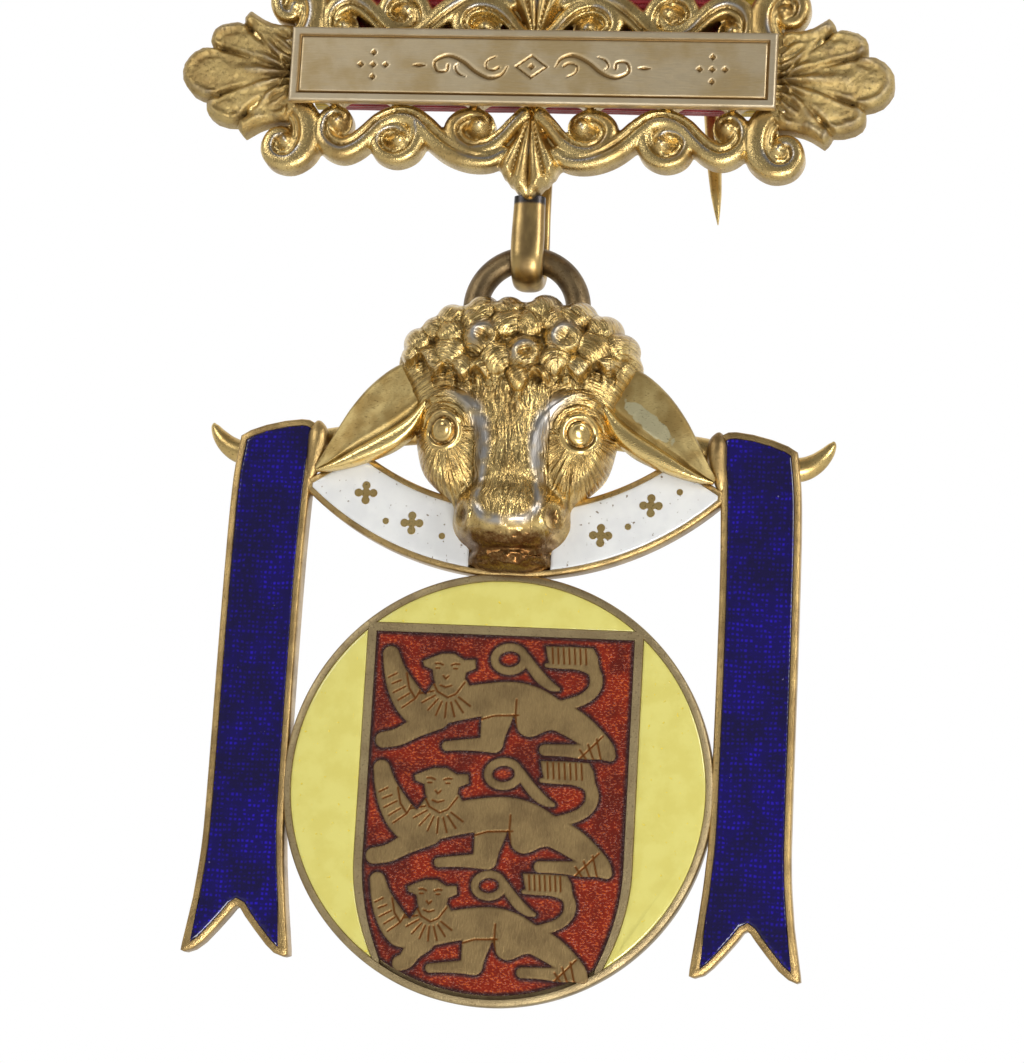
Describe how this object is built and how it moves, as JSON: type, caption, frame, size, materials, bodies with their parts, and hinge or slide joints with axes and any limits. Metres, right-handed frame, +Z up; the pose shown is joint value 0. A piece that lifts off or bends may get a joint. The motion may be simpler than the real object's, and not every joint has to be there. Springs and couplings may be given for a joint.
{
  "type": "lodge jewel",
  "caption": "Hanging breast jewel: gilt scroll bar with a plain plate on a ribbon, and an enamelled pendant with an animal's head, pennants and a shield on a disc.",
  "frame": {"origin": "middle of the pin bar, at the depth of the cast base's flat front", "axes": "+Z up, -Y towards the viewer, +X to the viewer's right"},
  "size_m": [0.0598, 0.0124, 0.1045],
  "materials": {
    "gilt": "cast, gilded and worn",
    "pale_gilt": "brushed, rubbed pale",
    "old_gilt": "tarnished",
    "silk": "ribbed silk with yellow edges",
    "white_enamel": "opaque glossy enamel",
    "blue_enamel": "deep glossy enamel",
    "yellow_enamel": "opaque glossy enamel",
    "red_enamel": "clear mottled glossy enamel"
  },
  "bodies": {
    "bar": {"top_bar": "gilt", "brooch_pin": "gilt", "ribbon": "silk", "scroll_frame": "gilt", "number_plate": "pale_gilt"},
    "ring": {"jump_ring": "old_gilt"},
    "pendant": {"pendant_frame": "gilt", "white_enamel_left": "white_enamel", "white_enamel_right": "white_enamel", "blue_enamel_left": "blue_enamel", "blue_enamel_right": "blue_enamel", "yellow_enamel_top": "yellow_enamel", "yellow_enamel_left": "yellow_enamel", "yellow_enamel_right": "yellow_enamel", "red_enamel": "red_enamel"}
  },
  "joints": [
    {"name": "ring_swing", "type": "hinge", "parent": "bar", "child": "ring", "pos_m": [0, 0.00315, -0.0386], "axis": [1, 0, 0], "range_deg": [-60, 60]},
    {"name": "pendant_sway", "type": "hinge", "parent": "ring", "child": "pendant", "pos_m": [0, 0.00315, -0.04293], "axis": [0, 1, 0], "range_deg": [-30, 30]}
  ]
}
